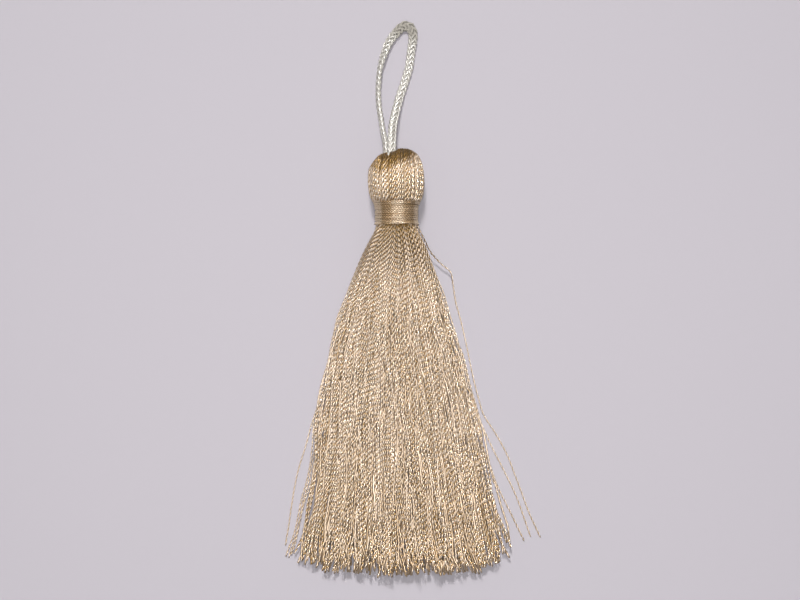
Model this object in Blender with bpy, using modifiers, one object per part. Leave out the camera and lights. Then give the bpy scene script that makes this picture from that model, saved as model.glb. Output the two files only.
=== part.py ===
# Tassel of twisted yarn, lying on its back with its hanging loop laid out above it
# Metres, +Z up. The tassel lies along Y: the loop points to +Y and the skirt fans towards -Y.
# The origin is under the middle of the box of the yarn and the binding, on the surface it lies on.

import math
import random
from collections import namedtuple

import bmesh
import bpy
from mathutils import Vector
from mathutils.geometry import delaunay_2d_cdt, interpolate_bezier

MM = 0.001

# Places, in millimetres
AXIS_X = -3.5              # the tassel's long axis, left of the origin because of the loose strands
NECK_Y = 29.77             # lower edge of the binding
NECK_Z = 5.15              # height of the neck's axis over the surface
HEAD_Z = 5.3               # height of the head's axis over the surface
CLEARANCE = 0.3            # gap between two pieces that touch

# Head: half widths left and right of the axis, and half depth, going up from the binding's lower edge
HeadRow = namedtuple("HeadRow", "up left right deep")
HEAD_ROWS = (
    HeadRow(5.45, 5.15, 5.00, 4.90),
    HeadRow(6.30, 5.62, 5.52, 5.35),
    HeadRow(7.80, 5.84, 5.86, 5.65),
    HeadRow(9.60, 5.86, 5.88, 5.70),
    HeadRow(11.5, 5.66, 5.66, 5.55),
    HeadRow(13.1, 4.96, 5.16, 5.00),
    HeadRow(14.1, 4.00, 4.55, 4.20),
)
NECK_RADIUS = 4.0
NECK_TOP = 5.15            # where the neck turns into the head, over the binding
RIM_POINTS = 56            # two for each raised strand around the head
RIDGE = 0.15               # how far a strand on the head stands in or out of the mean surface
RIDGE_SLANT = 0.35         # points by which the strands lean round the head, for each millimetre up

# Crown: the yarn folded over the loop, with a low left shoulder and a higher right one
CROWN_SHARES = (0.2, 0.46, 0.74)    # its rings, as shares of the head's last row
CROWN_RISE = 0.85
SHOULDER_RISE = 1.0        # how much higher the right shoulder is
SHOULDER_WIDTH = 0.25      # of the step between the shoulders, on the axis

# Binding: fine thread wound round the neck
BINDING_HEIGHT = 4.8
BINDING_TURNS = 14
BINDING_RADIUS = 4.6       # over the crests of the thread
THREAD_RELIEF = 0.14       # from crest to valley
LEDGE = 0.12               # the lowest turn stands out by this much more
BINDING_STEPS = 28

# Skirt: sections of the bundle of strands, going down from the binding's lower edge.
# left and right are the edges from the axis, lift is the height of the lowest strand,
# height is the bundle's thickness, and settled is 0 where it is round, 1 where it lies flat.
SkirtRow = namedtuple("SkirtRow", "down left right lift height settled")
SKIRT_ROWS = (
    SkirtRow(0.2, -3.75, 3.75, 1.4, 7.5, 0.0),
    SkirtRow(3.5, -5.7, 5.8, 0.75, 7.3, 0.15),
    SkirtRow(9.0, -8.2, 7.9, 0.1, 6.3, 0.55),
    SkirtRow(20.0, -12.1, 11.0, 0.0, 5.2, 1.0),
    SkirtRow(36.0, -16.4, 16.3, 0.0, 4.3, 1.0),
    SkirtRow(54.0, -19.4, 20.4, 0.0, 3.7, 1.0),
    SkirtRow(75.8, -24.0, 23.2, 0.0, 3.3, 1.0),
)
STRANDS = 220
STRAND_SIDES = 3
LATTICE_SHIFT = (0.3, 0.2) # moves the seats off the bundle's middle, in lattice steps
STRAND_FILL = 0.8          # a strand's width as a share of the room between neighbours
HEM_CURVE = 0.06           # share of the length by which the outermost strands end higher up
HEM_UNEVEN = 0.04          # share of its length by which a strand may be shorter
UNDERSIDE_SHORT = 0.02     # further share for the strands at the bottom of the bundle
LEVEL_BAND = 0.35          # strands lower than this come down level on the surface
CLUMP_WIDTH = 5.2          # strands gather in locks about this far apart
CLUMP_SHIFT = 0.13
SWAY_SHIFT = 0.3           # slow bends from side to side
SWAY_LENGTH = 44.0
SWAY_SPREAD = 4.0          # how far the bends lag from one edge of the skirt to its middle, in radians
HEM_SEED = 7

# Loose strands: each follows some rows of the skirt, then leaves it by points of its own
PathPoint = namedtuple("PathPoint", "x y z")
Stray = namedtuple("Stray", "rows points")
RIGHT_STRAYS = (
    Stray(1, (
        PathPoint(2.3, 26.6, 4.9), PathPoint(4.0, 23.4, 4.0), PathPoint(6.2, 21.1, 3.0),
        PathPoint(8.1, 19.4, 1.9), PathPoint(8.6, 16.9, 0.9), PathPoint(9.2, 13.1, 0.3),
        PathPoint(10.2, 9.5, 0.0), PathPoint(11.3, 4.8, 0.0), PathPoint(12.6, -1.5, 0.0),
        PathPoint(14.1, -7.6, 0.0), PathPoint(15.1, -10.9, 0.0), PathPoint(17.6, -14.9, 0.0),
        PathPoint(20.4, -20.1, 0.0), PathPoint(21.9, -24.0, 0.0), PathPoint(23.5, -28.2, 0.0),
        PathPoint(24.8, -31.8, 0.0), PathPoint(27.4, -37.5, 0.0),
    )),
    Stray(5, (
        PathPoint(14.6, -12.6, 0.0), PathPoint(16.9, -17.9, 0.0), PathPoint(19.6, -23.2, 0.0),
        PathPoint(22.1, -28.4, 0.0), PathPoint(24.0, -33.6, 0.0), PathPoint(25.3, -37.4, 0.0),
    )),
    Stray(5, (
        PathPoint(16.6, -22.0, 0.0), PathPoint(17.9, -25.8, 0.0), PathPoint(20.4, -31.0, 0.0),
        PathPoint(23.9, -38.2, 0.0),
    )),
)
LEFT_STRAYS = (
    Stray(5, (
        PathPoint(-21.4, -12.0, 0.0), PathPoint(-23.2, -18.4, 0.0), PathPoint(-24.6, -22.9, 0.0),
        PathPoint(-26.0, -30.1, 0.0), PathPoint(-26.7, -35.0, 0.0), PathPoint(-27.4, -39.2, 0.0),
    )),
)
STRAY_RADIUS = 0.27
FILL_TOLERANCE = 0.000001
SHARP_ANGLE = 50.0         # degrees between faces of one strand that stay sharp

# Hanging loop: a braided cord that leaves the crown, lies on the surface and comes back
CORD_RADIUS = 1.0
CORD_STEP = 0.58           # half of one repeat of the braid
ROUTE_PIECES = 12          # short pieces of the smooth curve between two points of the route
CORD_VALLEY = 0.9          # radius between two rows of stitches, as a share of the crest's
CORD_ROUTE = (
    PathPoint(-5.80, 45.20, 4.30), PathPoint(-5.84, 46.30, 4.20), PathPoint(-6.05, 47.95, 3.60),
    PathPoint(-6.39, 49.50, 2.85), PathPoint(-6.67, 51.10, 2.15), PathPoint(-6.94, 52.90, 1.55),
    PathPoint(-7.22, 54.60, 1.20), PathPoint(-7.37, 56.40, 1.06), PathPoint(-7.43, 58.20, 1.03),
    PathPoint(-7.33, 60.40, 1.03), PathPoint(-7.16, 62.50, 1.03), PathPoint(-6.82, 64.20, 1.03),
    PathPoint(-6.35, 65.80, 1.03), PathPoint(-5.88, 67.00, 1.03), PathPoint(-5.39, 68.30, 1.03),
    PathPoint(-4.62, 69.60, 1.03), PathPoint(-3.68, 70.75, 1.03), PathPoint(-2.73, 71.80, 1.03),
    PathPoint(-1.60, 72.35, 1.03), PathPoint(-0.60, 71.95, 1.03), PathPoint(-0.06, 71.00, 1.03),
    PathPoint(0.02, 69.60, 1.03), PathPoint(-0.17, 68.20, 1.03), PathPoint(-0.36, 66.80, 1.03),
    PathPoint(-0.55, 65.30, 1.03), PathPoint(-0.83, 63.40, 1.03), PathPoint(-1.28, 61.90, 1.03),
    PathPoint(-1.83, 60.00, 1.05), PathPoint(-2.60, 57.80, 1.15), PathPoint(-3.24, 55.55, 1.55),
    PathPoint(-3.79, 53.30, 2.30), PathPoint(-4.22, 51.10, 3.30), PathPoint(-4.41, 49.10, 4.60),
    PathPoint(-4.49, 47.60, 5.60), PathPoint(-4.53, 46.30, 6.15), PathPoint(-4.52, 45.20, 6.30),
)


def clear_scene():
    for thing in list(bpy.data.objects):
        bpy.data.objects.remove(thing, do_unlink=True)


def make_material(name, colour, roughness):
    material = bpy.data.materials.new(name)
    material.use_nodes = True
    shader = material.node_tree.nodes["Principled BSDF"]
    shader.inputs["Base Color"].default_value = (*colour, 1.0)
    shader.inputs["Roughness"].default_value = roughness
    shader.inputs["Metallic"].default_value = 0.0
    return material


def add_piece(name, data, material, collection):
    data.materials.append(material)
    piece = bpy.data.objects.new(name, data)
    collection.objects.link(piece)
    return piece


# Head and neck: rings of points round the tassel's axis, from the crown down to the skirt's roots


def head_point(row, index):
    angle = 2 * math.pi * (index + RIDGE_SLANT * row.up) / RIM_POINTS
    raised = RIDGE if index % 2 == 0 else -RIDGE
    side = row.right if math.cos(angle) > 0 else row.left
    x = (side + raised) * math.cos(angle)
    z = HEAD_Z + (row.deep + raised) * math.sin(angle)
    return Vector((AXIS_X + x, NECK_Y + row.up, max(z, 0.0)))


def crown_point(share, index):
    middle = Vector((AXIS_X, NECK_Y + HEAD_ROWS[-1].up, HEAD_Z))
    point = middle + (head_point(HEAD_ROWS[-1], index) - middle) * share
    shoulder = SHOULDER_RISE / (1 + math.exp((AXIS_X - point.x) / SHOULDER_WIDTH))
    point.y += (1 - share ** 4) * (CROWN_RISE + shoulder)
    return point


def neck_point(up, index):
    angle = 2 * math.pi * (index + RIDGE_SLANT * NECK_TOP) / RIM_POINTS
    x = AXIS_X + NECK_RADIUS * math.cos(angle)
    z = NECK_Z + NECK_RADIUS * math.sin(angle)
    return Vector((x, NECK_Y + up, z))


def head_rings():
    rings = [[crown_point(share, index) for index in range(RIM_POINTS)] for share in CROWN_SHARES]
    for row in reversed(HEAD_ROWS):
        rings.append([head_point(row, index) for index in range(RIM_POINTS)])
    for up in (NECK_TOP, -SKIRT_ROWS[0].down):
        rings.append([neck_point(up, index) for index in range(RIM_POINTS)])
    return rings


# Skirt: every strand keeps its seat in the bundle, while the bundle spreads and flattens


def bundle_seats(count):
    """Seats in a unit disc, on the golden section's lattice.

    Stretched one way and squeezed the other, this lattice never brings two of its points
    close together, so strands stay apart however wide and flat the bundle becomes.
    """
    golden = (1 + math.sqrt(5)) / 2
    step = math.sqrt(math.pi / count / math.sqrt(5))
    reach = int(2 / step)
    seats = []
    for first in range(-reach, reach):
        for second in range(-reach, reach):
            across = step * (first + second * golden + LATTICE_SHIFT[0])
            upward = step * (first + second * (1 - golden) + LATTICE_SHIFT[1])
            if math.hypot(across, upward) < 1:
                seats.append((across, upward))
    return sorted(seats)


def room_between(row):
    """Least distance between two neighbouring strands in a section of the skirt."""
    area = math.pi * (row.right - row.left) / 2 * row.height / 2 / STRANDS
    return math.sqrt(2 * area / math.sqrt(5))


def skirt_point(row, seat, shorter):
    across, upward = seat
    half = (row.right - row.left) / 2
    chord = math.sqrt(1 - across * across)
    radius = STRAND_FILL / 2 * room_between(row)
    x = AXIS_X + (row.left + row.right) / 2 + half * across
    x += CLUMP_SHIFT * row.settled * math.sin(2 * math.pi * x / CLUMP_WIDTH)
    x += SWAY_SHIFT * row.settled * math.sin(2 * math.pi * row.down / SWAY_LENGTH + SWAY_SPREAD * across)
    z = row.height / 2 * (upward + 1 + row.settled * (chord - 1))
    if z < LEVEL_BAND and row.settled == 1:
        z = 0.0
    down = row.down * (1 - HEM_CURVE * across * across * row.settled) * (1 - shorter)
    return Vector((x, NECK_Y - down, row.lift + radius / 2 + z)), radius


def strand_path(seat, shorter):
    """Points that a strand follows, each with the strand's radius there."""
    path = [skirt_point(row, seat, 0.0) for row in SKIRT_ROWS[:-1]]
    path.append(skirt_point(SKIRT_ROWS[-1], seat, shorter))
    return path


def stray_path(seat, stray):
    path = [skirt_point(row, seat, 0.0) for row in SKIRT_ROWS[:stray.rows]]
    for point in stray.points:
        path.append((Vector((point.x, point.y, point.z + STRAY_RADIUS / 2)), STRAY_RADIUS))
    return path


def all_paths():
    random.seed(HEM_SEED)
    seats = bundle_seats(STRANDS)
    paths = []
    for stray in LEFT_STRAYS:
        paths.append(stray_path(seats.pop(0), stray))
    for stray in RIGHT_STRAYS:
        paths.append(stray_path(seats.pop(), stray))
    for seat in seats:
        shorter = HEM_UNEVEN * random.random() + UNDERSIDE_SHORT * (1 - seat[1]) / 2
        paths.append(strand_path(seat, shorter))
    return paths


def section(centre, radius):
    """Corners of a strand's section, one side down, square to the tassel's axis."""
    corners = []
    for side in range(STRAND_SIDES):
        angle = 2 * math.pi * side / STRAND_SIDES + math.pi / 2
        corners.append(centre + Vector((radius * math.cos(angle), 0, radius * math.sin(angle))))
    return corners


def add_points(mesh, points):
    return [mesh.verts.new(point * MM) for point in points]


def bridge(mesh, first, second):
    for index in range(len(first)):
        after = (index + 1) % len(first)
        mesh.faces.new((first[index], first[after], second[after], second[index]))


def close_neck(mesh, rim, roots):
    """Fill the neck's lower end around the strands' roots."""
    loops = [rim] + roots
    corners = [corner for loop in loops for corner in loop]
    flat = [Vector((corner.co.x, corner.co.z)) / MM for corner in corners]
    outlines = []
    start = 0
    for loop in loops:
        outlines.append(list(range(start, start + len(loop))))
        start += len(loop)
    _, _, triangles, sources, _, owners = delaunay_2d_cdt(flat, [], outlines, 1, FILL_TOLERANCE)
    for triangle, owner in zip(triangles, owners):
        if owner == [0]:
            mesh.faces.new([corners[sources[point][0]] for point in triangle])


def build_yarn():
    mesh = bmesh.new()
    rings = [add_points(mesh, ring) for ring in head_rings()]
    for first, second in zip(rings, rings[1:]):
        bridge(mesh, first, second)
    peak = sum((corner.co for corner in rings[0]), Vector()) / len(rings[0])
    top = mesh.verts.new(peak)
    for index in range(RIM_POINTS):
        mesh.faces.new((top, rings[0][index], rings[0][(index + 1) % RIM_POINTS]))
    roots = []
    for path in all_paths():
        stations = [add_points(mesh, section(centre, radius)) for centre, radius in path]
        for first, second in zip(stations, stations[1:]):
            bridge(mesh, first, second)
        mesh.faces.new(stations[-1])
        roots.append(stations[0])
    close_neck(mesh, rings[-1], roots)
    bmesh.ops.recalc_face_normals(mesh, faces=mesh.faces)
    data = bpy.data.meshes.new("yarn")
    mesh.to_mesh(data)
    mesh.free()
    data.shade_smooth()
    data.set_sharp_from_angle(angle=math.radians(SHARP_ANGLE))
    return data


# Binding: a turned ring, its outer side wound in turns of thread


def binding_profile():
    pitch = BINDING_HEIGHT / BINDING_TURNS
    bore = NECK_RADIUS + CLEARANCE
    profile = [(bore, BINDING_HEIGHT), (BINDING_RADIUS - THREAD_RELIEF, BINDING_HEIGHT)]
    for turn in range(BINDING_TURNS):
        proud = LEDGE if turn == BINDING_TURNS - 1 else 0.0
        top = BINDING_HEIGHT - turn * pitch
        profile.append((BINDING_RADIUS + proud, top - pitch / 2))
        profile.append((BINDING_RADIUS - THREAD_RELIEF, top - pitch))
    profile.append((bore, 0.0))
    return profile


def build_binding():
    mesh = bmesh.new()
    profile = [mesh.verts.new((radius * MM, 0, height * MM)) for radius, height in binding_profile()]
    for first, second in zip(profile, profile[1:] + profile[:1]):
        mesh.edges.new((first, second))
    data = bpy.data.meshes.new("binding")
    mesh.to_mesh(data)
    mesh.free()
    return data


def place_binding(piece):
    piece.location = (AXIS_X * MM, NECK_Y * MM, NECK_Z * MM)
    piece.rotation_euler = (-math.pi / 2, 0, 0)
    turn = piece.modifiers.new("turn", "SCREW")
    turn.axis = "Z"
    turn.steps = BINDING_STEPS
    turn.render_steps = BINDING_STEPS
    turn.use_merge_vertices = True
    turn.merge_threshold = 0.00001
    turn.use_smooth_shade = True


# Hanging loop: a tube whose radius swells at every row of the braid's stitches


def smooth_route(route, pieces):
    """Points on a smooth curve through all the points of a route."""
    points = [Vector(point) for point in route]
    curve = []
    for index in range(len(points) - 1):
        here, after = points[index], points[index + 1]
        before = points[max(index - 1, 0)]
        beyond = points[min(index + 2, len(points) - 1)]
        leave = here + (after - before) / 6
        arrive = after - (beyond - here) / 6
        curve += interpolate_bezier(here, leave, arrive, after, pieces + 1)[:-1]
    return curve + [points[-1]]


def even_steps(curve, step):
    """The same curve as points an equal way apart."""
    length = sum((after - here).length for here, after in zip(curve, curve[1:]))
    count = round(length / step)
    points = [curve[0]]
    walked = 0.0
    for here, after in zip(curve, curve[1:]):
        stretch = (after - here).length
        while len(points) < count and walked + stretch >= len(points) * length / count:
            share = (len(points) * length / count - walked) / stretch
            points.append(here.lerp(after, share))
        walked += stretch
    return points + [curve[-1]]


def build_loop():
    points = even_steps(smooth_route(CORD_ROUTE, ROUTE_PIECES), CORD_STEP)
    data = bpy.data.curves.new("loop", "CURVE")
    data.dimensions = "3D"
    data.bevel_depth = CORD_RADIUS * MM
    data.bevel_resolution = 2
    data.use_fill_caps = True
    spline = data.splines.new("POLY")
    spline.points.add(len(points) - 1)
    for index, point in enumerate(points):
        spline.points[index].co = (*(point * MM), 1.0)
        spline.points[index].radius = 1.0 if index % 2 == 0 else CORD_VALLEY
    spline.use_smooth = True
    return data


def main():
    clear_scene()
    tassel = bpy.data.collections.new("tassel")
    bpy.context.scene.collection.children.link(tassel)
    yarn = make_material("champagne_yarn", (0.62, 0.47, 0.28), 0.45)
    thread = make_material("binding_thread", (0.52, 0.38, 0.21), 0.35)
    braid = make_material("ivory_braid", (0.83, 0.80, 0.72), 0.5)
    add_piece("yarn_bundle", build_yarn(), yarn, tassel)
    place_binding(add_piece("neck_binding", build_binding(), thread, tassel))
    add_piece("hanging_loop", build_loop(), braid, tassel)


main()
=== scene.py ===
# Yarn tassel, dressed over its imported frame. Metres, +Z up; the skirt fans towards -Y.
# Sizes below are millimetres until a mesh is written.
import math

import bpy
import numpy as np
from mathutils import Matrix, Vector


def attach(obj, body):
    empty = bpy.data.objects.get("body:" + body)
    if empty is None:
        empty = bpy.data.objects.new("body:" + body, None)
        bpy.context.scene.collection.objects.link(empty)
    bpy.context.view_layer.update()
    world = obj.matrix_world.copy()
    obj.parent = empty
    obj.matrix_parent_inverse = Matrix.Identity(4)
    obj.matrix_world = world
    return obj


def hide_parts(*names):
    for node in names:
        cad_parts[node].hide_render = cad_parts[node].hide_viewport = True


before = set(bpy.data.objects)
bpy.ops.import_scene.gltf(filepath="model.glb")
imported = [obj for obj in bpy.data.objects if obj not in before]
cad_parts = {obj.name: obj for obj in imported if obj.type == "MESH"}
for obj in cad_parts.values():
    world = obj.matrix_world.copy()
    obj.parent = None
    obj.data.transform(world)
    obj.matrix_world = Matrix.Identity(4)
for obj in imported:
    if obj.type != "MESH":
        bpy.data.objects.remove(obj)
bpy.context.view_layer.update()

mm = 0.001
axisX = -3.5   # the tassel's long axis
neckY = 29.77  # lower edge of the binding
neckZ = 5.15   # height of the neck's middle
headZ = 5.3    # height of the head's middle


cameraView = {
    "centre": (-2.77, 13.5),  # the point straight under it
    "height": 404.0,
    "level": 4.0,             # height at which the picture is as wide as given
    "width": 170.4,
    "sensor": 36.0,
    "clipStart": 0.01,        # metres
}


def placeCamera(view):
    data = bpy.data.cameras.new("photoCamera")
    data.sensor_width = view["sensor"]
    data.lens = view["sensor"] * (view["height"] - view["level"]) / view["width"]
    data.clip_start = view["clipStart"]
    camera = bpy.data.objects.new("photoCamera", data)
    camera.location = (view["centre"][0] * mm, view["centre"][1] * mm, view["height"] * mm)
    bpy.context.scene.collection.objects.link(camera)
    bpy.context.scene.camera = camera


placeCamera(cameraView)
print("camera placed")


def throughPoints(keys, values, at):
    # smooth curve through rows of values, read at the given keys
    keys, values = np.asarray(keys, float), np.asarray(values, float)
    slopes = np.gradient(values, keys, axis=0)
    at = np.clip(at, keys[0], keys[-1])
    low = np.clip(np.searchsorted(keys, at, side="right") - 1, 0, len(keys) - 2)
    gap = (keys[low + 1] - keys[low])[:, None]
    t = (at - keys[low])[:, None] / gap
    start, end = values[low], values[low + 1]
    leave, arrive = slopes[low] * gap, slopes[low + 1] * gap
    return (start * (1 + 2 * t) * (1 - t) ** 2 + leave * t * (1 - t) ** 2
            + end * t * t * (3 - 2 * t) + arrive * t * t * (t - 1))


def arcLength(path):
    return np.concatenate(([0.0], np.cumsum(np.linalg.norm(np.diff(path, axis=0), axis=1))))


def evenPath(path, step):
    # the same curve in steps of one length
    walked = arcLength(path)
    steps = max(int(walked[-1] / step), 2)
    return throughPoints(walked, path, np.linspace(0, walked[-1], steps + 1))


def unit(vectors):
    return vectors / np.maximum(np.linalg.norm(vectors, axis=-1, keepdims=True), 1e-9)


def fullTurn(sides):
    return np.linspace(0, 2 * math.pi, sides + 1)[:-1]


def tubeQuads(rings, sides, flipped=False):
    # the faces between a tube's rings of points
    ring = np.arange(sides)
    here = (np.arange(rings - 1) * sides)[:, None]
    quads = np.stack([here + ring, here + (ring + 1) % sides,
                      here + sides + (ring + 1) % sides, here + sides + ring], axis=-1).reshape(-1, 4)
    return (quads[:, [0, 3, 2, 1]] if flipped else quads).tolist()


# a section's points: along its wide way, along its thin way, and how deep in the groove they lie, which paints
# shade there
twoPly = np.array([(1.0, 0.0, 0.0), (0.68, 0.56, 0.1), (0.0, 0.32, 1.0), (-0.68, 0.56, 0.1),
                   (-1.0, 0.0, 0.0), (-0.68, -0.56, 0.1), (0.0, -0.32, 1.0), (0.68, -0.56, 0.1)])
twoPlySmall = np.array([(1.0, 0.0, 0.0), (0.42, 0.64, 0.5), (-0.42, 0.64, 0.5),
                        (-1.0, 0.0, 0.0), (-0.42, -0.64, 0.5), (0.42, -0.64, 0.5)])
roundPly = np.array([(math.cos(a), math.sin(a), 0.3) for a in fullTurn(5)])
noTwist = 1e9  # a turn so long that the section keeps its way up


def sweep(path, side, section, radius, turn, phase=0.0, tone=0.5, shade=3.0):
    # a strand along a path: its section goes round once in every turn of length
    # where it climbs or falls, shade paints it darker: painted shade for filaments that face the light end-on
    tangent = unit(np.gradient(path, axis=0))
    side = np.broadcast_to(np.asarray(side, float), path.shape)
    across = unit(side - np.sum(side * tangent, axis=1, keepdims=True) * tangent)
    upward = np.cross(tangent, across)
    walked = arcLength(path)
    angle = (phase + 2 * math.pi * walked / turn)[:, None]
    wide = np.cos(angle) * across + np.sin(angle) * upward
    thin = np.cos(angle) * upward - np.sin(angle) * across
    radius = np.broadcast_to(np.asarray(radius, float), (len(path),))[:, None, None]
    points = path[:, None, :] + radius * (section[None, :, 0, None] * wide[:, None, :]
                                          + section[None, :, 1, None] * thin[:, None, :])
    count, sides = len(path), len(section)
    ring = np.arange(sides)
    ends = [ring[::-1].tolist(), (ring + (count - 1) * sides).tolist()]
    around = np.arctan2(section[:, 1], section[:, 0])
    fibre = np.stack(np.broadcast_arrays(np.cos(around)[None, :], np.sin(around)[None, :],
                                         walked[:, None]), axis=-1).reshape(-1, 3)
    # painted shade: the steeper the strand, the deeper its colour
    tone = np.broadcast_to(np.asarray(tone, float), (count,)) + shade * tangent[:, 2] ** 2
    return {
        "points": points.reshape(-1, 3),
        "faces": tubeQuads(count, sides) + ends,
        "fibre": fibre,
        "tone": np.repeat(tone, sides),
        "groove": np.tile(section[:, 2], count),
    }


def triangleCount(strand):
    return sum(len(face) - 2 for face in strand["faces"])


def writePiece(name, strands, material, slot, *nodes):
    points = np.concatenate([strand["points"] for strand in strands]) * mm
    faces, start = [], 0
    for strand in strands:
        faces += [[corner + start for corner in face] for face in strand["faces"]]
        start += len(strand["points"])
    data = bpy.data.meshes.new(name)
    data.from_pydata(points.tolist(), [], faces)
    data.shade_smooth()
    for key, kind in (("fibre", "FLOAT_VECTOR"), ("tone", "FLOAT"), ("groove", "FLOAT")):
        layer = data.attributes.new(key, kind, "POINT")
        values = np.concatenate([strand[key] for strand in strands]).astype(np.float32).ravel()
        layer.data.foreach_set("vector" if kind == "FLOAT_VECTOR" else "value", values)
    data.materials.append(material)
    piece = bpy.data.objects.new(name, data)
    bpy.context.scene.collection.objects.link(piece)
    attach(piece, "root")
    if nodes:
        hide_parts(*nodes)
    print(name, len(strands), "strands,", sum(map(triangleCount, strands)), "triangles")
    return piece


# the inputs of the group that all finishes share, and the settings that they take
# Deep is the yarn's deeper tone and the colour of painted shade; Dark is the deepest painted shade
colourSockets = (("Light", "light"), ("Deep", "deep"), ("Dark", "dark"))
valueSockets = (
    ("Tone Depth", "toneDepth"), ("Groove Shade", "grooveShade"), ("Streak Depth", "streakDepth"),
    ("Streak Scale", "streakScale"), ("Smooth", "smooth"), ("Rough", "rough"),
    ("Dulling", "dulling"), ("Metal", "metal"), ("Deep Metal", "deepMetal"),
)
fibreLook = {
    "along": 0.3,             # filaments are long and thin: little change along them
    "detail": 3.0,
    "grooveRough": 0.5,
    "deepest": 1.1,           # depth at which the gloss takes the whole of the deep metal
}


def buildFibreGroup(look):
    group = bpy.data.node_groups.new("twistedFibre", "ShaderNodeTree")
    for sockets, kind in ((colourSockets, "NodeSocketColor"), (valueSockets, "NodeSocketFloat")):
        for name, _ in sockets:
            group.interface.new_socket(name=name, in_out="INPUT", socket_type=kind)
    group.interface.new_socket(name="Color", in_out="OUTPUT", socket_type="NodeSocketColor")
    for name in ("Roughness", "Metallic", "Height"):
        group.interface.new_socket(name=name, in_out="OUTPUT", socket_type="NodeSocketFloat")
    nodes, links = group.nodes, group.links
    given = nodes.new("NodeGroupInput")
    result = nodes.new("NodeGroupOutput")

    def attribute(name):
        node = nodes.new("ShaderNodeAttribute")
        node.attribute_name = name
        return node

    def combine(operation, first, second):
        node = nodes.new("ShaderNodeMath")
        node.operation = operation
        for socket, value in zip(node.inputs, (first, second)):
            if isinstance(value, (int, float)):
                socket.default_value = value
            else:
                links.new(value, socket)
        return node.outputs["Value"]

    fibre = attribute("fibre")
    tone = attribute("tone")
    groove = attribute("groove")
    stretch = nodes.new("ShaderNodeMapping")
    stretch.inputs["Scale"].default_value = (1.0, 1.0, look["along"])
    links.new(fibre.outputs["Vector"], stretch.inputs["Vector"])
    streak = nodes.new("ShaderNodeTexNoise")
    streak.inputs["Detail"].default_value = look["detail"]
    links.new(stretch.outputs["Vector"], streak.inputs["Vector"])
    links.new(given.outputs["Streak Scale"], streak.inputs["Scale"])
    centred = combine("SUBTRACT", streak.outputs["Fac"], 0.5)
    # deep: each strand's own tone with the shade painted into it, the groove's painted shade, and the filament
    # streaks
    deep = combine("ADD", combine("MULTIPLY", tone.outputs["Fac"], given.outputs["Tone Depth"]),
                   combine("MULTIPLY", groove.outputs["Fac"], given.outputs["Groove Shade"]))
    deep = combine("ADD", deep, combine("MULTIPLY", centred, given.outputs["Streak Depth"]))

    def blendColours(factor, first, second):
        node = nodes.new("ShaderNodeMix")
        node.data_type = "RGBA"
        node.clamp_factor = True
        links.new(factor, node.inputs["Factor"])
        links.new(first, node.inputs["A"])
        links.new(second, node.inputs["B"])
        return node.outputs["Result"]

    colour = blendColours(deep, given.outputs["Light"], given.outputs["Deep"])
    colour = blendColours(combine("SUBTRACT", deep, 1.0), colour, given.outputs["Dark"])
    links.new(colour, result.inputs["Color"])
    rough = nodes.new("ShaderNodeMapRange")
    grooveRough = combine("MULTIPLY", groove.outputs["Fac"], look["grooveRough"])
    links.new(combine("ADD", streak.outputs["Fac"], grooveRough), rough.inputs["Value"])
    links.new(given.outputs["Smooth"], rough.inputs["To Min"])
    links.new(given.outputs["Rough"], rough.inputs["To Max"])
    dulled = combine("MULTIPLY", tone.outputs["Fac"], given.outputs["Dulling"])
    links.new(combine("ADD", rough.outputs["Result"], dulled), result.inputs["Roughness"])
    metal = nodes.new("ShaderNodeMapRange")  # the deep places keep the yarn's colour in their gloss
    links.new(deep, metal.inputs["Value"])
    metal.inputs["From Max"].default_value = look["deepest"]
    links.new(given.outputs["Metal"], metal.inputs["To Min"])
    links.new(given.outputs["Deep Metal"], metal.inputs["To Max"])
    links.new(metal.outputs["Result"], result.inputs["Metallic"])
    links.new(combine("SUBTRACT", streak.outputs["Fac"], groove.outputs["Fac"]), result.inputs["Height"])
    return group


fibreGroup = buildFibreGroup(fibreLook)
sheenRoughness = 0.35
filamentHeight = 0.03  # what the bump stands for

champagneYarn = {
    "name": "champagneYarn",
    "light": (0.77, 0.61, 0.465),
    "deep": (0.30, 0.18, 0.058),
    "dark": (0.14, 0.078, 0.02),
    "toneDepth": 0.5,
    "grooveShade": 0.95,
    "streakDepth": 0.16,
    "streakScale": 3.0,
    "smooth": 0.24,
    "rough": 0.4,
    "dulling": 0.1,
    "metal": 0.45,
    "deepMetal": 1.0,
    "specular": 1.0,
    "ior": 2.7,
    "sheen": 0.1,
    "bump": 0.25,
}
goldThread = {
    "name": "goldThread",
    "light": (0.61, 0.475, 0.335),
    "deep": (0.30, 0.18, 0.066),
    "dark": (0.085, 0.045, 0.018),
    "toneDepth": 0.5,
    "grooveShade": 0.7,
    "streakDepth": 0.5,
    "streakScale": 3.0,
    "smooth": 0.2,
    "rough": 0.4,
    "dulling": 0.12,
    "metal": 0.3,
    "deepMetal": 0.85,
    "specular": 1.0,
    "ior": 2.1,
    "sheen": 0.1,
    "bump": 0.35,
}
ivoryBraid = {
    "name": "ivoryBraid",
    "light": (0.50, 0.475, 0.43),
    "deep": (0.21, 0.19, 0.155),
    "dark": (0.10, 0.085, 0.065),
    "toneDepth": 0.5,
    "grooveShade": 0.9,
    "streakDepth": 0.4,
    "streakScale": 4.0,
    "smooth": 0.15,
    "rough": 0.34,
    "dulling": 0.4,
    "metal": 0.35,
    "deepMetal": 0.0,
    "specular": 1.0,
    "ior": 1.9,
    "sheen": 0.1,
    "bump": 0.35,
}


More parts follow.
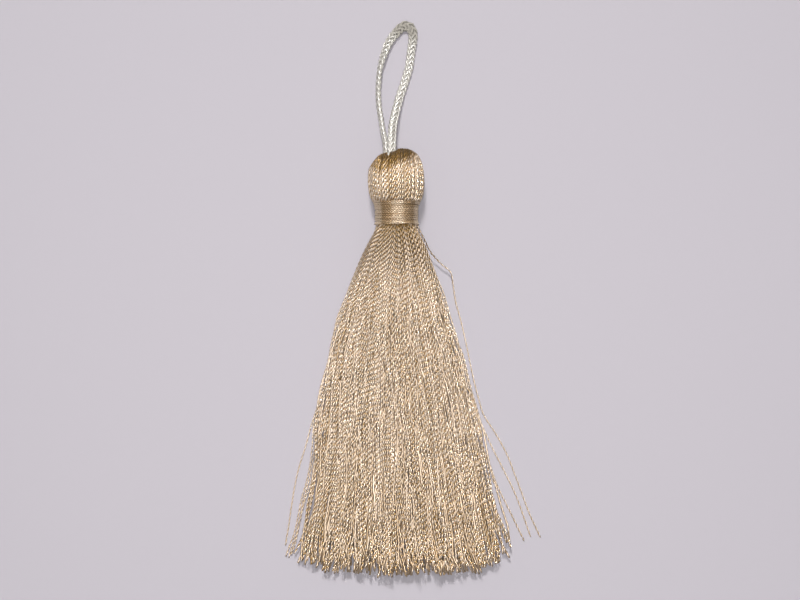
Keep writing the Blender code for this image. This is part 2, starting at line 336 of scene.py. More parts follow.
def makeFinish(finish):
    material = bpy.data.materials.new(finish["name"])
    material.use_nodes = True
    nodes, links = material.node_tree.nodes, material.node_tree.links
    shader = nodes["Principled BSDF"]
    shader.inputs["Specular IOR Level"].default_value = finish["specular"]
    shader.inputs["IOR"].default_value = finish["ior"]
    shader.inputs["Sheen Weight"].default_value = finish["sheen"]
    shader.inputs["Sheen Roughness"].default_value = sheenRoughness
    fibre = nodes.new("ShaderNodeGroup")
    fibre.node_tree = fibreGroup
    for socket, key in colourSockets:
        fibre.inputs[socket].default_value = (*finish[key], 1.0)
    for socket, key in valueSockets:
        fibre.inputs[socket].default_value = finish[key]
    relief = nodes.new("ShaderNodeBump")
    relief.inputs["Strength"].default_value = finish["bump"]
    relief.inputs["Distance"].default_value = filamentHeight * mm
    links.new(fibre.outputs["Color"], shader.inputs["Base Color"])
    links.new(fibre.outputs["Roughness"], shader.inputs["Roughness"])
    links.new(fibre.outputs["Metallic"], shader.inputs["Metallic"])
    links.new(fibre.outputs["Height"], relief.inputs["Height"])
    links.new(relief.outputs["Normal"], shader.inputs["Normal"])
    return material


yarnFinish = makeFinish(champagneYarn)
threadFinish = makeFinish(goldThread)
braidFinish = makeFinish(ivoryBraid)
print("finishes made")


hangingLoop = {
    "route": (
        (-5.80, 45.20, 4.30), (-5.84, 46.30, 4.20), (-6.05, 47.95, 3.60), (-6.39, 49.50, 2.85),
        (-6.67, 51.10, 2.15), (-6.94, 52.90, 1.55), (-7.22, 54.60, 1.20), (-7.37, 56.40, 1.06),
        (-7.43, 58.20, 1.03), (-7.33, 60.40, 1.03), (-7.16, 62.50, 1.03), (-6.82, 64.20, 1.03),
        (-6.35, 65.80, 1.03), (-5.88, 67.00, 1.03), (-5.39, 68.30, 1.03), (-4.62, 69.60, 1.03),
        (-3.68, 70.75, 1.03), (-2.73, 71.80, 1.03), (-1.60, 72.35, 1.03), (-0.60, 71.95, 1.03),
        (-0.06, 71.00, 1.03), (0.02, 69.60, 1.03), (-0.17, 68.20, 1.03), (-0.36, 66.80, 1.03),
        (-0.55, 65.30, 1.03), (-0.83, 63.40, 1.03), (-1.28, 61.90, 1.03), (-1.83, 60.00, 1.05),
        (-2.60, 57.80, 1.15), (-3.24, 55.55, 1.55), (-3.79, 53.30, 2.30), (-4.22, 51.10, 3.30),
        (-4.41, 49.10, 4.60), (-4.49, 47.60, 5.60), (-4.53, 46.30, 6.15), (-4.52, 45.20, 6.30),
    ),
    "width": 2.0,
    "step": 0.22,
    "strands": 6,             # each way round
    "pitch": 6.9,             # one turn of a strand round the braid
    "wide": 0.72,             # half width and half thickness of the oval the strands follow
    "thick": 0.32,
    "weave": 0.16,            # how far a strand rises over the ones that it crosses
    "strandWide": 0.26,
    "strandThin": 0.15,
    "strandSides": 6,
    "tones": (0.15, 0.25),    # of every other strand
    "tube": 0.92,             # size of the plain tube inside, against that oval
    "tubeSides": 8,
    "buried": 2.4,            # length of each end inside the head
    "tip": (0.505, 0.055),    # where the loop bends back and over how much, in shares of the length
    "wearAndShade": 1.7,              # how much duller and darker the tip is: partly wear, partly painted shade where the bend turns its glints away
    "wearAndShadeReach": 1.6,
    "spread": 0.25,           # and how much wider
    "turnStart": 0.30,        # shares of the length between which the braid turns from edge-on to flat
    "turnEnd": 0.47,
    "edgeAngle": 78.0,
    "lowBelow": 1.3,          # under this height it rests on the surface
    "window": 25,             # stations that its height is averaged over
}


def buildLoop(loop):
    route = np.array(loop["route"])
    marks = arcLength(route)
    path = evenPath(throughPoints(marks, route, np.linspace(0, marks[-1], 800)), loop["step"])
    shown = len(path)
    extra = int(loop["buried"] / loop["step"])
    inward = np.arange(1, extra + 1)[:, None] * loop["step"] * np.array((0.0, -1.0, 0.0))
    path = np.concatenate([(path[0] + inward)[::-1], path, path[-1] + inward])
    walked = arcLength(path)
    share = walked / walked[-1]
    turned = np.clip((share - loop["turnStart"]) / (loop["turnEnd"] - loop["turnStart"]), 0, 1)
    roll = math.radians(loop["edgeAngle"]) * (1 - turned * turned * (3 - 2 * turned))
    tipAt, tipOver = loop["tip"]
    bend = np.exp(-((share - tipAt) / tipOver) ** 2)
    wide = loop["wide"] * (1 + loop["spread"] * bend)
    half = np.hypot(loop["thick"] * np.cos(roll), wide * np.sin(roll)) + loop["weave"] + loop["strandThin"]
    onFloor = path[:, 2] < loop["lowBelow"]
    path[:, 2] = np.where(onFloor, np.minimum(path[:, 2], half), path[:, 2])
    window = loop["window"]
    padded = np.pad(path[:, 2], window // 2, mode="edge")
    path[:, 2] = np.convolve(padded, np.ones(window) / window, mode="valid")
    tangent = unit(np.gradient(path, axis=0))
    level = unit(np.cross(tangent, (0, 0, 1.0)))
    upward = np.cross(level, tangent)
    flat = np.cos(roll)[:, None] * level + np.sin(roll)[:, None] * upward
    proud = np.cos(roll)[:, None] * upward - np.sin(roll)[:, None] * level
    wearAndShade = loop["wearAndShade"] * np.clip(loop["wearAndShadeReach"] * bend, 0, 1)
    flatness = loop["strandThin"] / loop["strandWide"]
    # the groove value paints each strand's edges darker, a painted shade where strands meet
    section = np.array([(math.cos(a), flatness * math.sin(a), abs(math.cos(a)) ** 3)
                        for a in fullTurn(loop["strandSides"])])
    strands = []
    for way in (1, -1):
        for index in range(loop["strands"]):
            angle = way * 2 * math.pi * walked / loop["pitch"] + 2 * math.pi * index / loop["strands"]
            aside, above = np.cos(angle), np.sin(angle)
            outward = unit(flat * (aside * loop["thick"])[:, None] + proud * (above * wide)[:, None])
            line = path + flat * (wide * aside)[:, None] + proud * (loop["thick"] * above)[:, None]
            rise = way * loop["weave"] * np.sin(loop["strands"] / 2 * angle)
            line = line + outward * rise[:, None]
            side = np.cross(outward, unit(np.gradient(line, axis=0)))
            tone = loop["tones"][index % 2] + wearAndShade
            strand = sweep(line, side, section, loop["strandWide"], noTwist, 0.0, tone, 0.0)
            # painted shade where a strand dips under the ones that it crosses
            dipShade = np.repeat(0.5 - 0.5 * rise / loop["weave"], len(section))
            strand["groove"] = strand["groove"] * 0.6 + 0.4 * dipShade
            strands.append(strand)
    flatness = loop["thick"] / loop["wide"]
    oval = np.array([(math.cos(a), flatness * math.sin(a), 0.8) for a in fullTurn(loop["tubeSides"])])
    # the plain tube inside, whose groove value paints it darker as the shade between the strands
    strands.append(sweep(path, flat, oval, loop["tube"] * wide, noTwist, 0.0, 0.5 + wearAndShade, 0.0))
    piece = writePiece("hangingLoop", strands, braidFinish, "ivory_braid", "hanging_loop")
    path = path[extra:extra + shown]
    print("loop length", round(arcLength(path)[-1], 2))


buildLoop(hangingLoop)


skirt = {
    # distance down from the binding, left and right edge from the axis,
    # height of the lowest strand, thickness, and how far the strands have settled
    "rows": (
        (-1.0, -3.6, 3.6, 1.55, 7.2, 0.0),
        (0.2, -3.75, 3.75, 1.4, 7.5, 0.0),
        (3.5, -5.7, 5.8, 0.75, 7.3, 0.15),
        (9.0, -8.2, 7.9, 0.1, 6.3, 0.55),
        (20.0, -12.1, 11.0, 0.0, 5.2, 1.0),
        (36.0, -16.4, 16.3, 0.0, 4.3, 1.0),
        (54.0, -19.0, 20.6, 0.0, 3.9, 1.0),
        (62.5, -20.2, 22.3, 0.0, 4.0, 1.0),
        (67.0, -21.0, 23.7, 0.0, 4.1, 1.0),
        (76.5, -22.6, 26.8, 0.0, 4.3, 1.0),
    ),
    "seed": 11,
    "strands": 400,
    "stations": 112,
    "radius": 0.25,
    "turn": 2.3,               # one full turn of the two plies, so a highlight every half of it
    "topHeavy": 0.42,          # how much closer the strands lie in the upper layers
    "drift": 1.1,              # how far a strand strays over its neighbours by the hem
    "free": 30.0,              # how far down the binding still holds the strands in line
    "bends": ((46.0, 0.60), (21.0, 0.28), (10.0, 0.09)),  # length and size of each strand's own bends
    "bendsUp": 0.35,           # size of those upwards against those sideways
    "locks": ((5.2, 60.0, 0.16), (2.9, 34.0, 0.08)),  # width, length and strength of the gathered locks
    # distance down, and the least distance between two strands there
    "apart": ((0.0, 0.33), (6.0, 0.40), (16.0, 0.46), (32.0, 0.49)),
    "rounds": 60,              # of pushing them apart
    "pushOnly": 6,             # the last of them do nothing else
    "relist": 6,               # rounds between new lists of near strands
    "near": 0.85,
    "push": 0.45,
    "stiffness": 0.3,
    "hold": 0.02,              # pull on a strand towards its own place
    "covers": (0.26, 0.18),    # how near and how much higher a strand is that covers another
    "shown": 0.1,              # least shares of its length that show, by which a strand is made finer
    "shownWell": 0.3,
    "shownUnder": 0.12,
    "hem": 73.9,
    "hemLeft": (0.012, 0.03),  # how the hem rises towards its left and right ends
    "hemRight": (0.02, 0.07),
    "hemDeep": 1.3,            # how much longer the lowest strands are
    "hemLocks": 0.6,           # how far the locks' ends stand out
    "uneven": 3.0,
    "hookStep": 0.5,
    "hook": 9.0,               # length of the end that turns aside
    "hookAside": 0.85,         # spread of the way that it turns
    "hookUp": (0.1, 0.5, 0.35),  # mean rise of the lowest ends, what the highest add to it, and spread
    "tone": (0.35, 0.2),       # mean and spread
    "looseTone": 0.2,          # share of it that the loose strands have
    "root": 11.0,              # length under the binding over which the strands are painted darker, a painted shade
    "rootShade": 1.05,
    "rootSides": 0.75,         # how much less deep the root's sides are, which catch more light
    "lowTone": (24.0, 0.3),    # a length, and how much deeper the tone gets between two and three of it
    "phase": (0.6, 1.5),       # size of the waves in the twist's start, and its spread
    "rootSize": (8.0, 0.84),   # length that the binding squeezes, and a strand's size at its start
    "sizes": {"inside": 0.84, "loose": 0.68},  # a strand's size against the others
    "fineStep": 0.2875,
    "mediumStep": 0.575,
    "coarseStep": 2.0,
}

looseStrands = {
    "right": (
        ((2.3, 26.6, 4.2), (4.0, 23.4, 2.6), (6.2, 21.1, 1.7), (8.1, 19.4, 1.3), (8.6, 16.9, 0.7),
         (9.2, 13.1, 0.2), (10.2, 9.5, 0.0), (11.3, 4.8, 0.0), (12.6, -1.5, 0.0), (14.1, -7.6, 0.0),
         (15.1, -10.9, 0.0), (17.6, -14.9, 0.0), (20.4, -20.1, 0.0), (21.9, -24.0, 0.0),
         (23.5, -28.2, 0.0), (24.8, -31.8, 0.0), (27.4, -37.5, 0.0)),
        ((14.6, -12.6, 0.0), (16.9, -17.9, 0.0), (19.6, -23.2, 0.0), (22.1, -28.4, 0.0),
         (24.0, -33.6, 0.0), (25.3, -37.4, 0.0)),
        ((16.6, -22.0, 0.0), (17.9, -25.8, 0.0), (20.4, -31.0, 0.0), (23.9, -38.2, 0.0)),
    ),
    "left": (
        ((-21.4, -12.0, 0.0), (-23.2, -18.4, 0.0), (-24.6, -22.9, 0.0), (-26.0, -30.1, 0.0),
         (-26.7, -35.0, 0.0), (-27.4, -39.2, 0.0)),
        ((-22.15, -22.1, 0.1), (-22.85, -25.5, 0.0), (-23.86, -28.9, 0.0), (-24.75, -33.3, 0.0),
         (-25.7, -37.2, 0.0), (-26.6, -39.5, 0.0), (-27.3, -41.6, 0.1)),
        ((-21.8, -22.1, 0.0), (-22.4, -25.5, 0.0), (-23.4, -28.9, 0.1), (-24.3, -33.3, 0.1),
         (-25.2, -37.2, 0.0), (-26.1, -39.8, 0.0), (-26.7, -41.9, 0.0)),
        ((-21.4, -22.3, 0.2), (-21.9, -25.7, 0.3), (-23.1, -29.1, 0.5), (-24.2, -33.5, 0.5),
         (-24.9, -37.0, 0.3), (-25.5, -39.4, 0.3), (-26.2, -41.2, 0.3)),
    ),
}

rng = np.random.default_rng(skirt["seed"])


def bundleSeats(count):
    # seats in a unit disc on the golden section's lattice, so that they never crowd when the disc is squeezed
    golden = (1 + math.sqrt(5)) / 2
    step = math.sqrt(math.pi / count / math.sqrt(5))
    reach = int(2 / step)
    seats = []
    for first in range(-reach, reach):
        for second in range(-reach, reach):
            across = step * (first + second * golden + 0.3)
            upward = step * (first + second * (1 - golden) + 0.2)
            if math.hypot(across, upward) < 1:
                seats.append((across, upward))
    return np.array(sorted(seats))


def slowBends(count, down, bends):
    # smooth random bends, one row for each strand
    total = np.zeros((count, len(down)))
    for length, size in bends:
        lengths = length * rng.uniform(0.75, 1.3, (count, 1))
        total += size * np.sin(2 * math.pi * down[None, :] / lengths + rng.uniform(0, 2 * math.pi, (count, 1)))
    return total


def layStrands(skirt):
    seats = bundleSeats(skirt["strands"])
    count = len(seats)
    down = np.linspace(-1.0, 76.5, skirt["stations"])
    rows = throughPoints([row[0] for row in skirt["rows"]], [row[1:] for row in skirt["rows"]], down)
    left, right, lift, height, settled = rows.T
    settled = np.clip(settled, 0, 1)
    across, upward = seats[:, :1], seats[:, 1:]
    x = axisX + (left + right) / 2 + (right - left) / 2 * across
    chord = np.sqrt(1 - across ** 2)
    layer = np.clip((upward + chord) / (2 * chord), 0, 1)
    high = layer ** (1 - skirt["topHeavy"] * settled)
    z = np.maximum(lift, 0) + skirt["radius"] + height * (chord * high + (1 - settled) * (1 - chord) / 2)
    near, far = skirt["hemLeft"], skirt["hemRight"]
    curve = np.where(across > 0, far[0] * across ** 2 + far[1] * across ** 6,
                     near[0] * np.abs(across) + near[1] * across ** 4)
    y = neckY - down * (1 - curve * settled)
    free = np.clip(down / skirt["free"], 0, 1)
    strayed = (1 - across ** 4) * np.clip(down / skirt["hem"], 0, 1) ** 1.5
    x += rng.normal(0, skirt["drift"], (count, 1)) * strayed
    x += slowBends(count, down, skirt["bends"]) * (0.25 * settled + 0.75 * free * settled)
    z += skirt["bendsUp"] * slowBends(count, down, skirt["bends"]) * settled
    for width, length, strength in skirt["locks"]:
        phase = 2 * math.pi * (x - axisX) / width / (0.35 + 0.65 * free + 0.3 * free ** 2)
        drift = rng.uniform(0, 2 * math.pi) + 2 * math.pi * down / length
        x += strength * free * np.sin(phase + 2.5 * np.sin(drift) + 0.8 * upward)
    return seats, layer[:, 0], down, x, y, z


def partStrands(skirt, down, x, z):
    # push overlapping strands apart in every section, near their places and over the surface
    x, z = x.T.copy(), z.T.copy()
    homeX, homeZ = x.copy(), z.copy()
    apart = np.interp(down, *zip(*skirt["apart"]))
    size = x.shape[1]
    onePair = np.triu(np.ones((size, size), bool), 1)
    for turn in range(skirt["rounds"]):
        if turn % skirt["relist"] == 0:
            gaps = (x[:, :, None] - x[:, None, :]) ** 2 + (z[:, :, None] - z[:, None, :]) ** 2
            station, first, second = np.nonzero((gaps < skirt["near"] ** 2) & onePair)
            one, other = station * size + first, station * size + second
        flatX, flatZ = x.ravel(), z.ravel()
        aside, above = flatX[one] - flatX[other], flatZ[one] - flatZ[other]
        distance = np.maximum(np.hypot(aside, above), 1e-4)
        push = skirt["push"] * np.maximum(apart[station] - distance, 0) / distance
        for flat, gap in ((flatX, aside), (flatZ, above)):
            flat += np.bincount(one, gap * push, flat.size) - np.bincount(other, gap * push, flat.size)
        x, z = flatX.reshape(x.shape), flatZ.reshape(z.shape)
        if turn < skirt["rounds"] - skirt["pushOnly"]:
            for line, home in ((x, homeX), (z, homeZ)):
                line[1:-1] += skirt["stiffness"] * (line[:-2] + line[2:] - 2 * line[1:-1]) / 2
                line += skirt["hold"] * (home - line)
        z = np.maximum(z, skirt["radius"])
    return x.T, z.T


def exposure(skirt, x, z, way):
    # share of each strand's length that nothing covers, seen from above (1) or from below (-1)
    beside, over = skirt["covers"]
    aside = np.abs(x[:, None, :] - x[None, :, :]) < beside
    above = way * (z[None, :, :] - z[:, None, :]) > over
    return 1 - np.any(aside & above, axis=1).mean(axis=1)


def layLoose(skirt, path, points):
    # a strand that leaves the bundle above its first stated point
    points = np.array(points) + (0, 0, skirt["radius"])
    kept = path[path[:, 1] > points[0, 1] + 4.0]
    return evenPath(np.concatenate([kept[::4], points]), skirt["fineStep"])


def layCut(skirt, path, layer):
    # a strand cut at the hem, its end turned a little aside
    path = evenPath(path, skirt["hookStep"])
    walked = np.arange(len(path)) * skirt["hookStep"]
    start = len(path) * skirt["hookStep"] - skirt["hook"]
    hook = np.clip((walked - start) / skirt["hook"], 0, 1)[:, None] ** 2
    rise, more, spread = skirt["hookUp"]
    turned = [rng.normal(0, skirt["hookAside"]), 0.0, rng.normal(rise + more * layer, spread)]
    path = path + hook * np.array(turned)
    path[:, 2] = np.maximum(path[:, 2], skirt["radius"])
    return path


def strandKind(skirt, seen, under):
    # how finely a strand is made: its group, its section and its step
    if seen > skirt["shown"]:
        return "fine", twoPly if seen > skirt["shownWell"] else twoPlySmall, skirt["fineStep"]
    if under > skirt["shownUnder"]:
        return "under", twoPlySmall, skirt["mediumStep"]
    return "inside", roundPly, skirt["coarseStep"]


def buildSkirt(skirt):
    seats, layer, down, x, y, z = layStrands(skirt)
    x, z = partStrands(skirt, down, x, z)
    loose = dict(enumerate(looseStrands["left"]))
    for place, points in enumerate(looseStrands["right"]):
        loose[len(seats) - 1 - place] = points
    seen, under = exposure(skirt, x, z, 1), exposure(skirt, x, z, -1)
    groups = {"fine": [], "under": [], "inside": [], "loose": []}
    for index in range(len(seats)):
        across, upward = seats[index]
        path = np.stack([x[index], y[index], z[index]], axis=1)
        lock = skirt["hemLocks"] * math.sin(19 * across + 1.3) * math.sin(7 * across)
        end = skirt["hem"] + skirt["hemDeep"] * (1 - layer[index]) ** 1.5 + lock
        end -= skirt["uneven"] * rng.random() ** 2
        if index in loose:
            path = layLoose(skirt, path, loose[index])
            kind, section, step = "loose", twoPly, skirt["fineStep"]
        else:
            path = layCut(skirt, path[down <= end + 0.8], layer[index])
            kind, section, step = strandKind(skirt, seen[index], under[index])
        tone = float(np.clip(rng.normal(*skirt["tone"]), 0.0, 1.0))
        tone *= skirt["looseTone"] if kind == "loose" else 1.0
        path = evenPath(path, step)
        walked = arcLength(path)
        squeezed, rootSize = skirt["rootSize"]
        radius = skirt["radius"] * np.interp(walked, (0, squeezed), (rootSize, 1.0))
        radius = radius * skirt["sizes"].get(kind, 1.0)
        waves, spread = skirt["phase"]
        phase = waves * math.sin(6 * across + 2 * upward) + rng.normal(0, spread)
        # the root painted darker under the binding, a painted shade, less so at its lit sides
        root = np.clip(1 - walked / skirt["root"], 0, 1)
        rootShade = skirt["rootShade"] * (1 - skirt["rootSides"] * abs(across) ** 3)
        lowFrom, lowTone = skirt["lowTone"]
        tones = tone + rootShade * (root ** 1.3 + root ** 6) + lowTone * np.clip(walked / lowFrom - 2, 0, 1)
        groups[kind].append(sweep(path, (1.0, 0, 0), section, radius, skirt["turn"], phase, tones))
    return groups


def writeStrands(name, strands, limit=185000):
    # as many pieces as the strands need
    batch, total, part = [], 0, 1
    for strand in strands:
        size = triangleCount(strand)
        if total + size > limit:
            writePiece(f"{name}_{part}", batch, yarnFinish, "champagne_yarn", "yarn_bundle")
            batch, total, part = [], 0, part + 1
        batch.append(strand)
        total += size
    writePiece(f"{name}_{part}", batch, yarnFinish, "champagne_yarn", "yarn_bundle")


skirtGroups = buildSkirt(skirt)
writeStrands("skirtStrands", skirtGroups["fine"])
writeStrands("skirtUnderside", skirtGroups["under"])
writeStrands("skirtInside", skirtGroups["inside"])
writeStrands("looseStrands", skirtGroups["loose"])


head = {
    # up from the binding's lower edge, half width to the left and right, half depth
    "rows": (
        (4.4, 4.95, 4.97, 4.75),
        (5.2, 5.36, 5.4, 5.12),
        (6.2, 5.66, 5.7, 5.4),
        (7.8, 5.86, 5.88, 5.65),
        (9.6, 5.88, 5.88, 5.70),
        (11.5, 5.66, 5.66, 5.55),
        (13.1, 4.70, 5.28, 5.05),
        (14.1, 3.86, 4.84, 4.35),
    ),
    # the strands' ends at the binding: share of the way out, and how far up
    "tuck": ((0.82, 5.7), (0.84, 5.4), (0.88, 5.05), (0.93, 4.7), (0.97, 4.5)),
    "crownRise": 1.0,
    "crownPower": 0.28,      # the smaller, the squarer the crown
    "shoulderRise": 0.85,    # how much higher the right shoulder is
    "shoulderWidth": 0.3,
    "layers": ((0.28, 35, 0.29), (0.72, 36, 0.24)),  # depth under the surface, strands, their radius
    "widest": 9.0,
    "gathered": 15.0,        # the strands draw together between these two heights
    "gather": 0.72,          # and keep this share of their distance from this place
    "gatherX": -0.6,
    "outer": (0.55, 0.35),   # how far out strands start to follow the outline, and over how much
    "cordX": -1.65,          # where the loop comes out, from the axis
    "cordRoom": 0.5,
    "cordFrom": 13.0,        # the strands make room for it from this height
    "cordWidth": 1.6,
    "crownShade": (10.0, 1.3),    # where up the crown's band of painted shade starts at its lowest, and over how much
    "crownShadeSlope": 0.6,       # how much higher it starts with each millimetre to the right
    "crownShadeLeft": 2.6,        # how far left of the axis that rise begins
    "crownShadeEdge": (4.1, 1.5),  # how far left it rises again, and over how much
    # painted shade where the strands climb over the crown and fall to the binding
    "shade": 1.3,
    "tone": (0.65, 0.25),    # mean and spread
    "seed": 5,
}


def headSize(head, up, inset):
    rows = np.array(head["rows"])
    sizes = throughPoints(rows[:, 0], rows[:, 1:], np.atleast_1d(up)) - inset
    return sizes.T


def crownHeight(head, x, inset):
    return head["crownRise"] + head["shoulderRise"] / (1 + np.exp(-x / head["shoulderWidth"])) - inset


def halfDepth(head, x, up, inset):
    # depth of the head over its middle plane, at a place across and up
    left, right, deep = headSize(head, np.minimum(up, head["rows"][-1][0]), inset)
    half = np.where(x < 0, left, right)
    over = np.clip((up - head["rows"][-1][0]) / crownHeight(head, x, inset), 0, 1)
    share = (1 - over) ** head["crownPower"]
    return deep * np.sqrt(np.maximum(share ** 2 - (x / half) ** 2, 0))


def headRoute(head, lean, inset, nudge):
    # one strand's places across and up, from the binding to the crown, and its depth there
    lastRow = head["rows"][-1][0]
    ups = np.linspace(head["rows"][0][0], 16.2, 500)
    left, right, _ = headSize(head, np.minimum(ups, head["widest"]), inset)
    x = np.where(lean < 0, left, right) * math.sin(lean)
    draw = np.clip((ups - head["widest"]) / (head["gathered"] - head["widest"]), 0, 1)
    draw = draw * draw * (3 - 2 * draw)
    x = x + draw * (1 - head["gather"]) * (head["gatherX"] - x) * np.where(x < 0, 1.0, 0.2)
    # those near the sides follow the outline over the shoulder
    outerFrom, outerOver = head["outer"]
    outer = np.clip((abs(math.sin(lean)) - outerFrom) / outerOver, 0, 1)
    left, right, _ = headSize(head, np.minimum(ups, lastRow), inset)
    rise = crownHeight(head, np.sign(lean), inset)
    over = np.clip((ups - lastRow) / rise, 0, 1)
    x = x + outer * (np.where(lean < 0, left, right) * (1 - over) ** head["crownPower"] * math.sin(lean) - x)
    part = x - head["cordX"]
    room = np.clip((ups - head["cordFrom"]) / head["cordWidth"], 0, 1) * head["cordRoom"]
    x = x + room * np.sign(part) * np.exp(-(part / head["cordWidth"]) ** 2)
    depth = halfDepth(head, x, ups, inset)
    top = min(ups[np.nonzero(depth > 0)[0][-1]], lastRow + (1 - 0.2 * outer) * rise + 0.6 * (1 - outer))
    levels = ups[0] + (top - ups[0]) * np.sin(np.linspace(0, math.pi / 2, 90))
    x = np.interp(levels, ups, x) + nudge * np.sin(np.linspace(0.4, 2.9, 90)) * 0.5
    depth = halfDepth(head, x, levels, inset)
    depth[-1] = 0.0
    return x, levels, depth


def buildHeadStrand(head, lean, inset, radius, section, nudge, phase, tone):
    x, levels, depth = headRoute(head, lean, inset, nudge)
    front = np.stack([axisX + x, neckY + levels, headZ + depth], axis=1)
    back = np.stack([axisX + x, neckY + levels, headZ - depth], axis=1)[::-1]
    # both ends turn in again under the bulge, into the top of the binding
    tuck = np.array(head["tuck"])
    middle = np.array((axisX, neckY, headZ))
    ends = []
    for start in (front[0], back[-1]):
        inward = (start - middle) * (tuck[:, :1] * (1, 0, 1)) + middle
        inward[:, 1] = neckY + tuck[:, 1]
        ends.append(inward)
    path = np.concatenate([ends[0], front, back[1:], ends[1][::-1]])
    for _ in range(3):
        path[1:-1] = (path[:-2] + 2 * path[1:-1] + path[2:]) / 4
    path = evenPath(path, skirt["fineStep"])
    path[:, 2] = np.maximum(path[:, 2], radius + 0.02)
    # the crown painted darker in a band, a painted shade where the strands turn away over it
    shadeFrom, shadeOver = head["crownShade"]
    edgeFrom, edgeOver = head["crownShadeEdge"]
    aside = (np.clip(path[:, 0] - axisX + head["crownShadeLeft"], 0, 6)
             + 2 * np.clip(axisX - edgeFrom - path[:, 0], 0, edgeOver))
    crownShade = np.clip((path[:, 1] - neckY - shadeFrom - head["crownShadeSlope"] * aside) / shadeOver, 0, 1)
    return sweep(path, (1.0, 0, 0), section, radius, skirt["turn"], phase, tone + crownShade, head["shade"])


def buildHead(head):
    draws = np.random.default_rng(head["seed"])
    strands = []
    for (inset, count, radius), section in zip(head["layers"], (twoPly, twoPlySmall)):
        for index in range(count):
            lean = math.pi * ((index + 0.5 + 0.15 * draws.normal()) / count - 0.5)
            nudge = draws.normal(0, 0.35)
            phase = 2 * math.sin(3 * lean) + draws.normal(0, 1.2)
            tone = float(np.clip(draws.normal(*head["tone"]), 0, 1))
            strands.append(buildHeadStrand(head, lean, inset, radius, section, nudge, phase, tone))
    writeStrands("headStrands", strands)


filling = {
    # the folded yarn further in, painted deep, which shows as painted shade between the strands
    "inset": 1.05,
    "levels": ((-0.6, 5.0, 6), (5.3, 14.1, 20)),  # from where up to where, and rings
    "cap": (0.1, 0.5, 4),    # the same over the last of them
    "capHeight": 0.55,
    "neck": 5.0,
    "neckShare": 0.9,        # its size at the neck
    "neckOver": 1.2,
    "sides": 48,
    "ridge": 0.02,
    "lowest": 0.3,
    "tone": 1.2,
    "groove": 0.8,
}


def buildShadeCore(head, filling):
    top = head["rows"][-1][0]
    levels = np.concatenate([np.linspace(*rings) for rings in filling["levels"]]
                            + [top + np.linspace(*filling["cap"])])
    sides = filling["sides"]
    points = []
    for up in levels:
        left, right, deep = headSize(head, min(up, top), filling["inset"])
        if up <= top:
            share = filling["neckShare"]
            shrink = min(1.0, share + (1 - share) * (up - filling["neck"]) / filling["neckOver"])
        else:
            shrink = max(1 - ((up - top) / filling["capHeight"]) ** 2, 0.02) ** 0.5
        for index in range(sides):
            angle = 2 * math.pi * index / sides
            half = right if math.cos(angle) > 0 else left
            size = shrink * (1 + filling["ridge"] * (index % 2))
            points.append((axisX + half[0] * size * math.cos(angle), neckY + up,
                           max(headZ + deep[0] * size * math.sin(angle), filling["lowest"])))
    rings = len(levels)
    ring = np.arange(sides)
    ends = [ring.tolist(), (ring[::-1] + (rings - 1) * sides).tolist()]
    angles = np.tile(2 * math.pi * ring / sides, rings)
    core = {
        "points": np.array(points),
        "faces": tubeQuads(rings, sides, flipped=True) + ends,
        "fibre": np.stack([4 * np.cos(angles), 4 * np.sin(angles), np.repeat(levels, sides)], axis=1),
        "tone": np.full(len(points), filling["tone"]),
        "groove": np.full(len(points), filling["groove"]),
    }
    writePiece("headShadeCore", [core], yarnFinish, "champagne_yarn", "yarn_bundle")


buildHead(head)
buildShadeCore(head, filling)


binding = {
    "bottom": -0.35,
    "top": 4.8,
    "turns": 13,
    "middle": 4.42,          # radius of the thread's own line
    "flare": (2.9, 1.7, 0.45),  # from where up it widens into the head, over what length, and by how much
    "thread": 0.205,
    "turn": 1.2,
    "ledge": 0.14,           # the lowest turn stands out by this much
    "wobble": (0.035, (0.37, 0.83, 1.31)),  # size and rates of the thread's wandering
    # how far up, and radius of the yarn under the thread
    "sleeve": ((-0.3, 4.0), (-0.2, 4.3), (2.9, 4.3), (4.5, 4.66), (4.7, 4.0)),
    "sleeveSides": 64,
    "tone": 0.3,
    "middleX": 0.06,         # the middle of the painted highlight, in shares of the radius
    "flank": (0.18, 0.18),   # how far from it the flanks painted in shade start, and over how much
    "flankShade": (1.1, 0.2),  # how dark that painted shade is, and how much less on the right and more on the left
    "edge": (0.70, 0.12),    # the same for the edges painted light
    "edgeTone": 0.5,         # how much lighter that paint makes them
    "seed": 3,
    "step": 0.16,
}


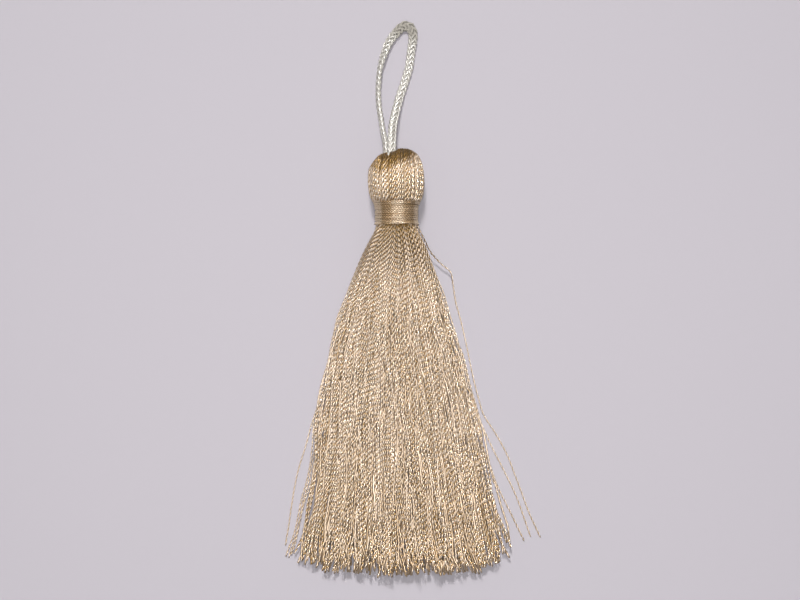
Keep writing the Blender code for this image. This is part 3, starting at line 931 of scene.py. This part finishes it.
def buildBinding(binding):
    draws = np.random.default_rng(binding["seed"])
    turns = binding["turns"]
    angle = np.linspace(0, 2 * math.pi * turns, int(2 * math.pi * binding["middle"] * turns / binding["step"]))
    pitch = (binding["top"] - binding["bottom"] - 2 * binding["thread"]) / (turns - 1)
    lap = angle / (2 * math.pi)
    up = binding["bottom"] + binding["thread"] + pitch * np.clip(lap - 0.5, 0, turns - 1)
    flareFrom, flareOver, flareBy = binding["flare"]
    flare = flareBy * np.clip((up - flareFrom) / flareOver, 0, 1) ** 1.3
    size, rates = binding["wobble"]
    wobble = sum(size * np.sin(rate * angle + draws.uniform(0, 6.28)) for rate in rates)
    ledge = binding["ledge"] * np.clip(1.2 - lap, 0, 1)
    radius = binding["middle"] + 0.6 * wobble + ledge + flare
    path = np.stack([axisX + radius * np.cos(angle), neckY + up + wobble,
                     neckZ + radius * np.sin(angle)], axis=1)
    aside = np.abs(np.cos(angle) - binding["middleX"])
    edgeFrom, edgeOver = binding["edge"]
    edge = np.clip((aside - edgeFrom) / edgeOver, 0, 1)
    flankFrom, flankOver = binding["flank"]
    flank = np.clip((aside - flankFrom) / flankOver, 0, 1) * (1 - edge)
    flankShade, flankLess = binding["flankShade"]
    # the thread's own mottling, and the lowest turn painted lighter, a painted highlight where it stands out
    mottleAndGlint = 0.2 * np.sin(0.9 * angle) * np.sin(0.31 * angle + 1) - 0.3 * np.clip(1.3 - lap, 0, 1)
    # the middle painted light as the thread's highlight, the flanks painted in shade and the edges painted
    # light
    tone = (binding["tone"] + mottleAndGlint + (flankShade - flankLess * np.cos(angle)) * flank
            - binding["edgeTone"] * edge)
    thread = sweep(path, (0, 1.0, 0), twoPly, binding["thread"] * 1.08, binding["turn"], 0.0, tone, 0.3)
    sides = binding["sleeveSides"]
    around = 2 * math.pi * np.arange(sides) / sides
    aside, above = np.cos(around), np.sin(around)
    sleeve = [np.stack([axisX + size * aside, np.full(sides, neckY + up), neckZ + size * above], axis=1)
              for up, size in binding["sleeve"]]
    fibre = [np.stack([aside * 9, np.full(sides, 1.0 * row), above * 9], axis=1) for row in range(len(sleeve))]
    # the yarn under the thread, painted in deep colour as the shade between the turns
    under = {
        "points": np.concatenate(sleeve),
        "faces": tubeQuads(len(sleeve), sides, flipped=True),
        "fibre": np.concatenate(fibre),
        "tone": np.full(len(sleeve) * sides, 1.0),
        "groove": np.full(len(sleeve) * sides, 0.9),
    }
    writePiece("bindingThread", [thread, under], threadFinish, "binding_thread", "neck_binding")


buildBinding(binding)


studio = {
    "floor": (0.322, 0.301, 0.324),
    "floorHalf": 3.0,        # metres
    "floorRough": 0.85,
    "floorSpecular": 0.2,
    "middle": (-3.0, 5.0, 0.0),  # the lights stand round this point
    "keyFrom": (-0.06, 0.65, 1.0),
    "keyDistance": 1400.0,
    "keySize": 240.0,
    "keyPower": 1.02,
    "keySpread": 40.0,       # narrow enough for the corners to be a little darker
    "keyAim": (-3.0, -15.0, 0.0),
    "frontFrom": (0.0, -0.04, 1.0),
    "frontDistance": 900.0,
    "frontSize": 110.0,
    "frontPower": 6.0,
    "sky": (0.28, 0.28, 0.29),
}


def addLight(studio, name, aim):
    data = bpy.data.lights.new(f"{name}Light", "AREA")
    data.shape = "DISK"
    data.size = studio[f"{name}Size"] * mm
    data.energy = studio[f"{name}Power"]
    light = bpy.data.objects.new(f"{name}Light", data)
    away = unit(np.array(studio[f"{name}From"])) * studio[f"{name}Distance"]
    light.location = (away + studio["middle"]) * mm
    light.rotation_euler = (Vector(aim) * mm - light.location).to_track_quat("-Z", "Y").to_euler()
    bpy.context.scene.collection.objects.link(light)
    return light


def buildStudio(studio):
    data = bpy.data.meshes.new("floor")
    half = studio["floorHalf"]
    corners = [(-half, -half, 0), (half, -half, 0), (half, half, 0), (-half, half, 0)]
    data.from_pydata(corners, [], [(0, 1, 2, 3)])
    material = bpy.data.materials.new("paleFloor")
    material.use_nodes = True
    shader = material.node_tree.nodes["Principled BSDF"]
    shader.inputs["Base Color"].default_value = (*studio["floor"], 1.0)
    shader.inputs["Roughness"].default_value = studio["floorRough"]
    shader.inputs["Specular IOR Level"].default_value = studio["floorSpecular"]
    data.materials.append(material)
    floor = bpy.data.objects.new("floor", data)
    bpy.context.scene.collection.objects.link(floor)
    key = addLight(studio, "key", studio["keyAim"])
    key.data.spread = math.radians(studio["keySpread"])
    addLight(studio, "front", studio["middle"])
    world = bpy.data.worlds.new("studio")
    world.use_nodes = True
    world.node_tree.nodes["Background"].inputs["Color"].default_value = (*studio["sky"], 1.0)
    bpy.context.scene.world = world
    bpy.context.scene.view_settings.view_transform = "Standard"


buildStudio(studio)
print("surface and lights placed")
